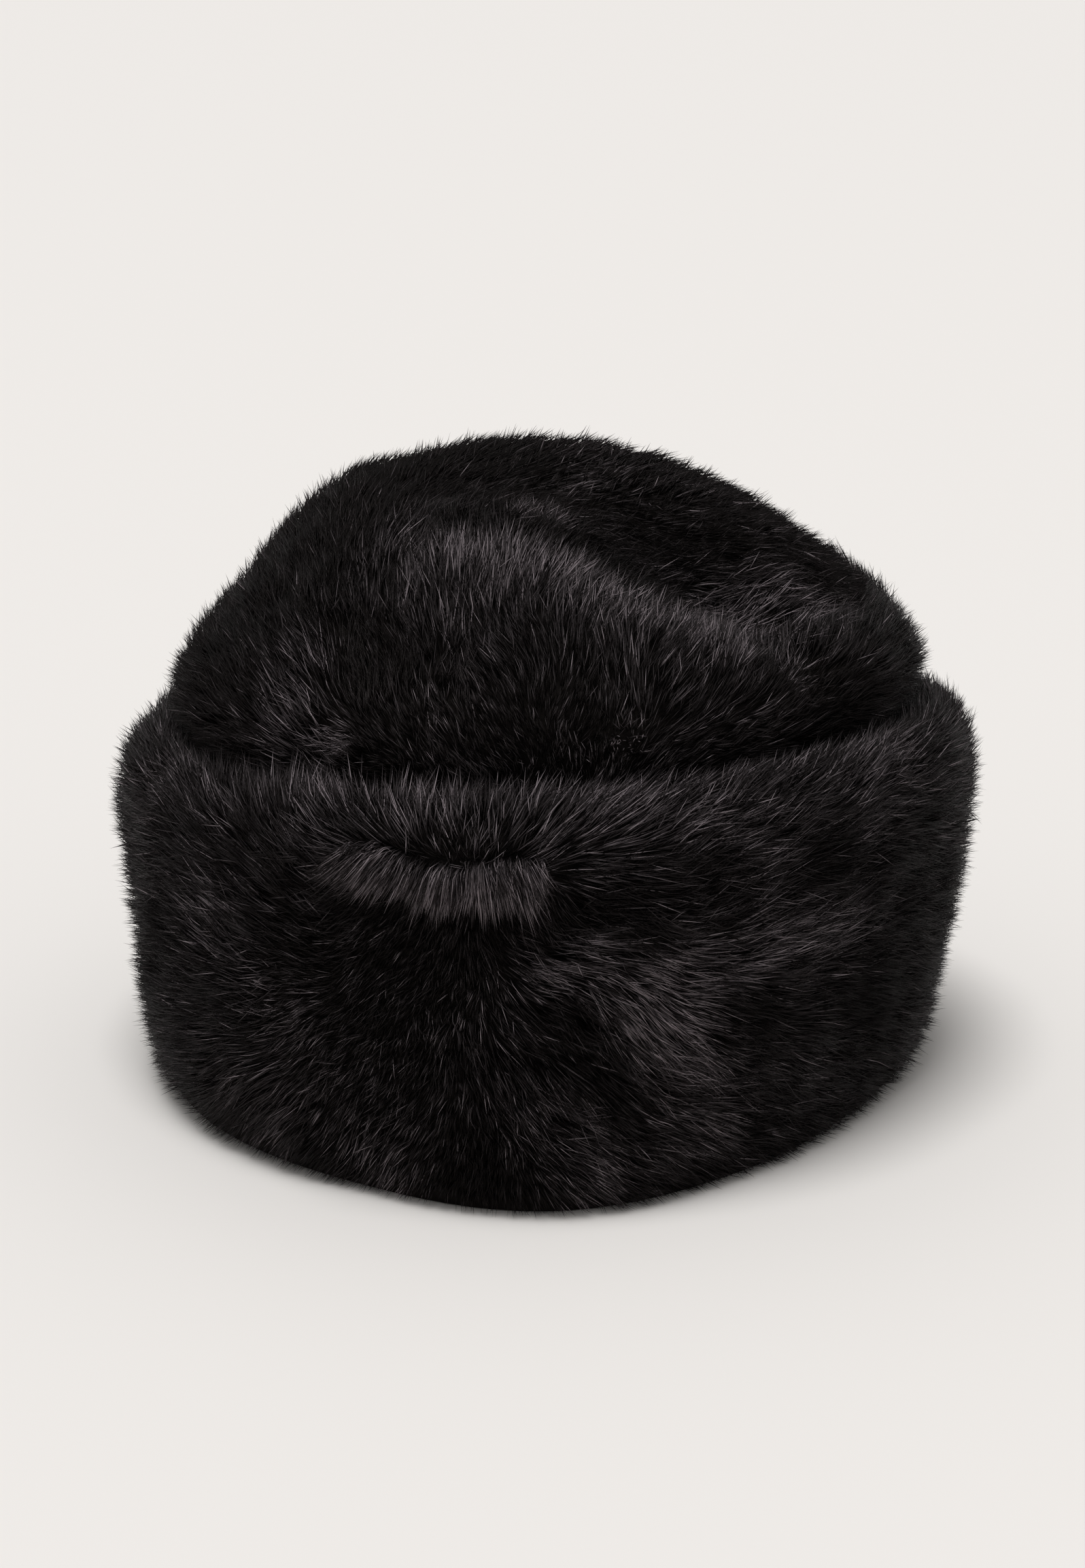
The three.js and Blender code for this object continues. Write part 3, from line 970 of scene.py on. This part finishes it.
class Pile:
    """The hairs of one sub-assembly.

    The constants that start with RUFFLED are what full ruffling adds or takes away. Angles are in radians.
    """

    FLOOR_CLEARANCE = 0.4 * MM
    LEAST_LENGTH = 0.02
    SHADE = 0.31
    SHADE_SPREAD = 0.80
    FIRM = 0.5
    RUFFLED_TURN = 2.6
    RUFFLED_LIFT = 0.7
    RUFFLED_LENGTH = 0.25
    RUFFLED_CLING = 0.6
    LENGTHS = (0.5, 1.4)
    TUFT_LENGTHS = (0.6, 1.3)
    MOST_RISE = 3.2
    STANDS = (0.1, 1.35)
    STAND_SPREAD = 0.12
    TALLEST_MM = 5.0
    TALLEST_SPREAD = (0.5, 1.4)
    BEND = 0.48
    KEPT_STAND = (0.2, 0.6, 0.9)
    CLINGS = (0.6, 1.2)
    MIDDLE_CLING = 0.4
    STEEP = 0.35
    STEEP_LOOSE = 0.8
    WIDTHS = (0.7, 1.3)
    WIDENING = 0.7

    def __init__(self, skin: Skin, nap: Nap, ruffles: tuple[Ruffle, ...], seed: int) -> None:
        """Takes the form, its nap and where it is ruffled.

        Args:
            skin: the form that the pile grows from.
            nap: how it is combed.
            ruffles: spots where it isn't.
            seed: starts the source of chance.
        """
        self.skin = skin
        self.nap = nap
        self.rng = np.random.default_rng(seed)
        self.ruffles = []
        for ruffle in ruffles:
            comb = WallComb(ruffle.where, ruffle.turn, ruffle.height, 0.0)
            self.ruffles.append((comb.anchor(skin)[0], ruffle.radius * MM, ruffle.amount, ruffle.painted_light))

    def tousle(self, places: np.ndarray, effect: int) -> np.ndarray:
        """Gives an effect of the ruffled spots at each place: how ruffled the pile is, or its added painted
        highlight.
        """
        total = np.zeros(len(places))
        for centre, radius, *effects in self.ruffles:
            away = np.linalg.norm(places - centre, axis=1) / radius
            total = np.maximum(total, effects[effect] * np.exp(-away ** Ruffle.EDGE_POWER))
        return total

    def members(self, places: np.ndarray, tufts: Tufts) -> tuple[np.ndarray, int]:
        """Sorts hairs into tufts.

        Args:
            places: the hairs' places on the form.
            tufts: the kind of tuft.

        Returns:
            The number of each hair's tuft, and how many tufts there are.
        """
        count = max(1, int(self.skin.areas.sum() / (tufts.spacing * MM) ** 2))
        centres, _, _ = self.skin.scatter(count, self.rng)
        tree = KDTree(count)
        for i, centre in enumerate(centres):
            tree.insert(centre, i)
        tree.balance()
        return np.array([tree.find(place)[1] for place in places]), count

    @staticmethod
    def drawn(points: np.ndarray, tuft: np.ndarray, count: int, share: np.ndarray) -> np.ndarray:
        """Draws points towards the middle of their tuft.

        Args:
            points: one point of each hair.
            tuft: the number of each hair's tuft.
            count: how many tufts there are.
            share: how far each point goes.

        Returns:
            The moved points.
        """
        size = np.maximum(np.bincount(tuft, minlength=count), 1)[:, None]
        middle = np.stack([np.bincount(tuft, points[:, k], count) for k in range(3)], 1) / size
        return points + (middle[tuft] - points) * share[:, None]

    def settled(self, points: np.ndarray, rise: np.ndarray, loose: np.ndarray) -> np.ndarray:
        """Lays points on the form.

        Args:
            points: one point of each hair.
            rise: how far above the form each would lie.
            loose: the share of its own height that each keeps.

        Returns:
            The moved points.
        """
        under, normals = self.skin.nearest(points)
        own = np.sum((points - under) * normals, axis=1)
        laid = under + flattened(points - under, normals)
        return laid + normals * (rise + (own - rise) * loose)[:, None]

    def grounded(self, starts: np.ndarray, ends: np.ndarray) -> np.ndarray:
        """Shortens lengths of hair that would go through the floor.

        Args:
            starts: where each length starts, above the floor.
            ends: where each would end.

        Returns:
            Where each ends.
        """
        fall = np.maximum(starts[:, 2] - ends[:, 2], TINY)
        share = ((starts[:, 2] - self.FLOOR_CLEARANCE) / fall).clip(self.LEAST_LENGTH, 1)
        return starts + (ends - starts) * share[:, None]

    def bent(self, stands: np.ndarray) -> np.ndarray:
        """Gives how steeply hairs stand beyond their bend."""
        least, more, most = self.KEPT_STAND
        return stands * (least + more * stands).clip(0, most)

    def grow(self, count: int, kind: NapHairs) -> Strands:
        """Grows hairs all over the form.

        Args:
            count: how many.
            kind: their sizes.

        Returns:
            The hairs.
        """
        rng = self.rng
        places, normals, faces = self.skin.scatter(count, rng)
        lies, firm, (stands, frees, painted_light_levels) = self.nap.at(places, normals)
        tousle = np.maximum(self.tousle(places, 0), ((self.FIRM - firm) / self.FIRM).clip(0, 1))
        angle = np.radians(kind.fray) * rng.standard_normal(count)
        angle += tousle * rng.uniform(-self.RUFFLED_TURN, self.RUFFLED_TURN, count)
        length = kind.length * MM * (1 + kind.length_spread * rng.standard_normal(count)).clip(*self.LENGTHS)
        rise = kind.tip_rise * MM * rng.exponential(1.0, count).clip(0, self.MOST_RISE)
        # Painted light from the rows and the ruffled spots, no lower than this kind's least, sets each hair's
        # shade with a random tone on top: painted highlight where it is high, painted shade where it is low.
        painted_light_levels = np.maximum(painted_light_levels + self.tousle(places, 1), kind.painted_light)
        shades = self.SHADE * painted_light_levels * np.exp(self.SHADE_SPREAD * rng.standard_normal(count))
        groups = []
        for tufts in kind.tufts:
            tuft, total = self.members(places, tufts)
            angle += np.radians(tufts.turn) * rng.standard_normal(total)[tuft]
            length *= (1 + tufts.length * rng.standard_normal(total))[tuft].clip(*self.TUFT_LENGTHS)
            rise += tufts.rise * MM * rng.standard_normal(total)[tuft]
            stands += np.radians(tufts.lift) * rng.standard_normal(total)[tuft]
            shades *= np.exp(tufts.shade * rng.standard_normal(total)[tuft])
            groups.append((tuft, total, tufts.cling))
        lifts = self.RUFFLED_LIFT * tousle + self.STAND_SPREAD * rng.standard_normal(count)
        stands = (stands + (lifts + math.radians(kind.lift))).clip(*self.STANDS)
        lies = turned(lies, normals, angle)
        tallest = self.TALLEST_MM * rng.uniform(*self.TALLEST_SPREAD, count)
        length = np.minimum(length, (kind.depth + tallest) * MM / np.sin(stands))
        length *= 1 - self.RUFFLED_LENGTH * tousle
        root = places - normals * (kind.depth * MM)
        middle = root + leaning(lies, normals, stands) * (length * self.BEND)[:, None]
        tip = middle + leaning(lies, normals, self.bent(stands)) * (length * (1 - self.BEND))[:, None]
        for tuft, total, cling in groups:
            share = cling * rng.uniform(*self.CLINGS, count) * (1 - self.RUFFLED_CLING * tousle)
            tip = self.drawn(tip, tuft, total, share.clip(0, 1))
            middle = self.drawn(middle, tuft, total, (share * self.MIDDLE_CLING).clip(0, 1))
        steep = (np.sin(stands) - self.STEEP).clip(0, 1)
        loose = (kind.loose + frees + self.STEEP_LOOSE * steep).clip(0, 1)
        middle = self.grounded(root, self.settled(middle, np.full(count, kind.mid_rise * MM), loose))
        tip = self.grounded(middle, self.settled(tip, rise, loose))
        thinned = self.skin.shares[faces] / np.maximum(self.skin.areas[faces], TINY)
        widths = kind.width * MM * rng.uniform(*self.WIDTHS, count) / thinned ** self.WIDENING
        paths = np.stack([root, middle, tip], 1)
        return Strands(paths, widths, shades.clip(0, 1), normals, self.skin.owners[faces])

    def forelock(self, lock: Forelock, kind: Hairs) -> Strands:
        """Grows a lock that hangs out from a parting.

        Args:
            lock: its place and size.
            kind: the sizes of its hairs.

        Returns:
            The hairs.
        """
        rng = self.rng
        count = lock.hairs
        share = rng.random(count)
        turns = lock.turns[0] + share * (lock.turns[1] - lock.turns[0])
        ways = lock.ways[0] + share * (lock.ways[1] - lock.ways[0]) + kind.fray * rng.standard_normal(count)
        heights = lock.heights(share, rng.random(count))
        size = MM * (1 + kind.length_spread * rng.standard_normal(count)).clip(*lock.SIZES)
        size *= lock.profile(share)
        lifts = np.radians(lock.stand + kind.fray * rng.standard_normal(count))
        places, _ = lock.anchors(self.skin, turns, heights, ways)
        groups = [(*self.members(places, tufts), tufts) for tufts in kind.tufts]
        for tuft, total, tufts in groups:
            ways += tufts.turn * rng.standard_normal(total)[tuft]
            lifts += np.radians(tufts.lift) * rng.standard_normal(total)[tuft]
            size *= np.exp(tufts.length * rng.standard_normal(total))[tuft].clip(*lock.TUFT_SIZES)
        places, lies = lock.anchors(self.skin, turns, heights, ways)
        under, normals = self.skin.nearest(places)
        out = leaning(lies, normals, lifts)
        down = leaning(lies, normals, lock.KEPT_STAND * lifts)
        middle = under + out * (lock.BEND * lock.hang * size)[:, None]
        tip = middle + down * ((1 - lock.BEND) * lock.hang * size)[:, None]
        for tuft, total, tufts in groups:
            cling = tufts.cling * rng.uniform(*lock.CLINGS, count)
            tip = self.drawn(tip, tuft, total, cling.clip(0, 1))
            middle = self.drawn(middle, tuft, total, (lock.MIDDLE_CLING * cling).clip(0, 1))
        root = under - normals * (kind.depth * MM)
        widths = kind.width * MM * rng.uniform(*self.WIDTHS, count)
        # The lock's shade is its painted highlight, weaker towards its first end, times a random tone.
        shades = kind.painted_light * (lock.DARK_END + share).clip(0, 1)
        shades *= np.exp(self.SHADE_SPREAD * rng.standard_normal(count))
        for tuft, total, tufts in groups:
            shades *= np.exp(tufts.shade * rng.standard_normal(total)[tuft])
        paths = np.stack([root, middle, tip], 1)
        return Strands(paths, widths, shades.clip(0, 1), normals, np.zeros(count, int))


@dataclass
class Underfur:
    """The body of one solid under its pile, its outer face sunk below the tips. Sizes are in metres."""

    node: str
    name: str
    slot: Slot
    sink: float
    centre: tuple[float, float, float] = (0, 0, 80 * MM)
    smooth_steps: int = 4
    smooth_factor: float = 0.5

    GROUP = "pile"
    MERGED = 1e-6
    FOOT = 14 * MM
    LEAST_SINK = 0.25
    OVERHANG = 4.5 * MM
    FLOOR_GAP = 0.6 * MM

    def build(self) -> bpy.types.Object:
        """Copies the solid, marks its outer face and smooths it.

        Returns:
            The new object, not yet sunk.
        """
        bpy.ops.object.select_all(action="DESELECT")
        piece = bpy.data.objects.new(self.name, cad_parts[self.node].data.copy())
        bpy.context.scene.collection.objects.link(piece)
        piece.select_set(True)
        bpy.context.view_layer.objects.active = piece
        bpy.ops.object.mode_set(mode="EDIT")
        bpy.ops.mesh.select_all(action="SELECT")
        bpy.ops.mesh.remove_doubles(threshold=self.MERGED)
        bpy.ops.object.mode_set(mode="OBJECT")
        outer = [self.is_outer(v) for v in piece.data.vertices]
        ends = [tuple(edge.vertices) for edge in piece.data.edges]
        border = {end for pair in ends if outer[pair[0]] != outer[pair[1]] for end in pair}
        group = piece.vertex_groups.new(name=self.GROUP)
        for index, out in enumerate(outer):
            if out:
                group.add([index], 0.0 if index in border else 1.0, "REPLACE")
        smooth = piece.modifiers.new("combed_smooth", "SMOOTH")
        smooth.factor = self.smooth_factor
        smooth.iterations = self.smooth_steps
        smooth.vertex_group = self.GROUP
        bpy.ops.object.modifier_apply(modifier=smooth.name)
        bpy.ops.object.shade_smooth()
        return piece

    def is_outer(self, vertex: bpy.types.MeshVertex) -> bool:
        """Tells whether a vertex faces away from the middle of the piece."""
        return vertex.normal.dot(vertex.co - Vector(self.centre)) > 0

    def sunk(self, piece: bpy.types.Object, normals: np.ndarray) -> None:
        """Moves the outer face in, below the tips of the pile, and near the floor less so and down to it.

        Args:
            piece: the object that build made.
            normals: the outward direction at each vertex, or zero where there is no pile.
        """
        corners = np.empty(len(normals) * 3)
        piece.data.vertices.foreach_get("co", corners)
        corners = corners.reshape(-1, 3)
        corners -= normals * self.sink * (corners[:, 2:] / self.FOOT).clip(self.LEAST_SINK, 1)
        low = corners[:, 2] < self.FOOT
        heights = (0, self.OVERHANG, self.FOOT)
        corners[low, 2] = np.interp(corners[low, 2], heights, (0, self.FLOOR_GAP, self.FOOT))
        piece.data.vertices.foreach_set("co", corners.ravel())
        piece.data.update()

    def dress(self, piece: bpy.types.Object, wool: bpy.types.Material, backing: bpy.types.Material) -> None:
        """Gives the outer face wool and the rest the woven backing, and ties the piece to the frame.

        Args:
            piece: the finished object.
            wool: the finish outside.
            backing: the finish inside.
        """
        group = piece.vertex_groups[self.GROUP].index
        outer = [any(g.group == group for g in v.groups) for v in piece.data.vertices]
        piece.data.materials.clear()
        piece.data.materials.append(wool)
        piece.data.materials.append(backing)
        for face in piece.data.polygons:
            face.material_index = 0 if any(outer[v] for v in face.vertices) else 1
        tie(piece, self.slot, self.node)


class CuffUnderfur(Underfur):
    """The underfur of the cuff, whose outer face goes over its roll."""

    FOLD = 1 * MM
    UNDER_ROLL = -0.3
    ON_ROLL = 0.15

    def is_outer(self, vertex: bpy.types.MeshVertex) -> bool:
        """Tells whether a vertex is on the cuff's outer face or on top of its roll."""
        outward = Vector((vertex.co.x, vertex.co.y, 0)).normalized()
        faces_out = vertex.normal.dot(outward) > self.UNDER_ROLL or vertex.normal.z > self.ON_ROLL
        return vertex.co.z > self.FOLD and faces_out


def tie(piece: bpy.types.Object, slot: Slot, *nodes: str) -> None:
    """Rides a piece on the hat's body, and hides the solids that it stands for.

    Args:
        piece: a finished object.
        slot: the record's slot for the piece; not used.
        nodes: the solids.
    """
    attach(piece, "root")
    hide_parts(*nodes)
    log.info("%s: %d faces", piece.name, len(piece.data.polygons))


@dataclass
class Finishes:
    """The materials that the pieces share."""

    pile: bpy.types.Material
    underfur: bpy.types.Material
    backing: bpy.types.Material


@dataclass
class Cuff:
    """The band of deep fur turned up round the hat. Sizes are in metres."""

    finishes: Finishes
    sink: float = 5 * MM
    lowest: float = 2 * MM
    hairs: int = 84000
    guard_hairs: int = 14000
    lock: Forelock = Forelock("tuft under the parting", (-27.0, -1.0), 100, (-145, -205), 12, 34, 2600)
    # The last number of each ruffle is painted highlight added there.
    ruffles: tuple[Ruffle, ...] = (
        Ruffle("right rim", 60, 108, 9, 1.0, 0.2),
        Ruffle("left rim", -68, 98, 10, 1.0, 0.1),
        Ruffle("front left", -38, 52, 12, 0.8, 0.3),
        Ruffle("front, upper", -20, 66, 24, 0.62, 0.0),
        Ruffle("front", -24, 42, 28, 0.68, 0.0),
        Ruffle("front, low", -12, 14, 24, 0.5, 0.0),
        Ruffle("parting", -12, 97, 9, 0.5, 0.0),
    )
    sectors: tuple[Sector, ...] = (
        ("front", 330, 390), ("front_right", 30, 90), ("back_right", 90, 150),
        ("back", 150, 210), ("back_left", 210, 270), ("front_left", 270, 330),
    )

    def build(self) -> None:
        """Makes the underfur and the pile."""
        body = CuffUnderfur("cuff", "cuff_underfur", Slot.CUFF, self.sink)
        underfur = body.build()
        skin = Skin([underfur], self.lowest)
        pile = Pile(skin, Nap(CUFF_COMBS, skin), self.ruffles, SEED)
        strands = pile.grow(self.hairs, COMBED).joined(
            pile.grow(self.guard_hairs, GUARD), pile.forelock(self.lock, LOCK))
        body.sunk(underfur, skin.parts()[0])
        body.dress(underfur, self.finishes.underfur, self.finishes.backing)
        for name, part in strands.parted(self.sectors):
            tie(part.piece(f"cuff_pile_{name}", self.finishes.pile), Slot.CUFF, "cuff")


@dataclass
class Crown:
    """The soft crown: its side panel and its tip, under one pile. Sizes are in metres."""

    finishes: Finishes
    sink: float = 3.5 * MM
    lowest: float = 92 * MM
    hairs: int = 54000
    guard_hairs: int = 9000
    # The last number of each ruffle is painted highlight added there.
    ruffles: tuple[Ruffle, ...] = (
        Ruffle("front left, low", -38, 118, 7, 1.0, 1.3),
        Ruffle("front right, low", 14, 123, 6, 0.6, 0.5),
        Ruffle("right bulge", 50, 130, 7, 1.0, 0.15),
        Ruffle("tip", -8, 169, 10, 1.0, 0.5),
    )
    sectors: tuple[Sector, ...] = (("front", 270, 450), ("back", 90, 270))

    def build(self) -> None:
        """Makes the underfur and the pile of the side and of the tip."""
        side = Underfur("crown_side", "crown_side_underfur", Slot.CROWN, self.sink)
        tip = Underfur("crown_top", "crown_tip_underfur", Slot.CROWN, self.sink)
        pieces = [side.build(), tip.build()]
        skin = Skin(pieces, self.lowest)
        pile = Pile(skin, Nap(SIDE_COMBS + TIP_COMBS, skin), self.ruffles, SEED + 1)
        strands = pile.grow(self.hairs, SHORT).joined(pile.grow(self.guard_hairs, GUARD))
        for body, piece, normals in zip((side, tip), pieces, skin.parts()):
            body.sunk(piece, normals)
            body.dress(piece, self.finishes.underfur, self.finishes.backing)
        on_side = strands.owners == 0
        for name, part in strands.chosen(on_side).parted(self.sectors):
            tie(part.piece(f"crown_side_pile_{name}", self.finishes.pile), Slot.CROWN, "crown_side")
        top = strands.chosen(~on_side)
        tie(top.piece("crown_tip_pile", self.finishes.pile), Slot.CROWN, "crown_top")


@dataclass
class Studio:
    """The floor, the light and the camera. Sizes are in metres."""

    floor_size: float = 30.0
    camera_place: tuple[float, float, float] = (-0.0015, -0.9257, 0.3746)
    camera_pitch: float = 72.52
    lens: float = 76.5
    sky: Colour = (1.0, 0.99, 0.98)
    sky_strength: float = 0.46
    key_strength: float = 2.05
    key_spread: float = 26.0
    key_tilt: tuple[float, float] = (9.0, -5.0)

    def build(self) -> None:
        """Sets the scene round the hat."""
        self.lay_floor()
        self.light()
        self.aim_camera()
        bpy.context.scene.view_settings.view_transform = "Standard"

    def lay_floor(self) -> None:
        """Lays the floor that the hat stands on."""
        bpy.ops.object.select_all(action="DESELECT")
        bpy.ops.mesh.primitive_plane_add(size=self.floor_size)
        floor = bpy.context.object
        floor.name = "floor"
        floor.data.materials.append(FloorFinish().material())

    def light(self) -> None:
        """Lights the hat softly from all round, and most from above."""
        world = bpy.data.worlds.new("pale_room")
        world.use_nodes = True
        background = world.node_tree.nodes["Background"]
        background.inputs["Color"].default_value = (*self.sky, 1.0)
        background.inputs["Strength"].default_value = self.sky_strength
        bpy.context.scene.world = world
        key = bpy.data.lights.new("overhead", "SUN")
        key.energy = self.key_strength
        key.angle = math.radians(self.key_spread)
        lamp = bpy.data.objects.new("overhead", key)
        lamp.rotation_euler = (math.radians(self.key_tilt[0]), math.radians(self.key_tilt[1]), 0)
        bpy.context.scene.collection.objects.link(lamp)

    def aim_camera(self) -> None:
        """Puts the camera where the photograph was taken from."""
        camera = bpy.data.cameras.new("camera")
        camera.lens = self.lens
        stand = bpy.data.objects.new("camera", camera)
        stand.location = self.camera_place
        stand.rotation_euler = (math.radians(self.camera_pitch), 0, 0)
        bpy.context.scene.collection.objects.link(stand)
        bpy.context.scene.camera = stand


def main() -> None:
    """Builds the hat and its surroundings in order."""
    logging.basicConfig(level=logging.INFO, format="%(name)s: %(message)s")
    Studio().build()
    finishes = Finishes(PileFinish().material(), UnderfurFinish().material(), BackingFinish().material())
    Cuff(finishes).build()
    Crown(finishes).build()


if __name__ == "__main__":
    main()
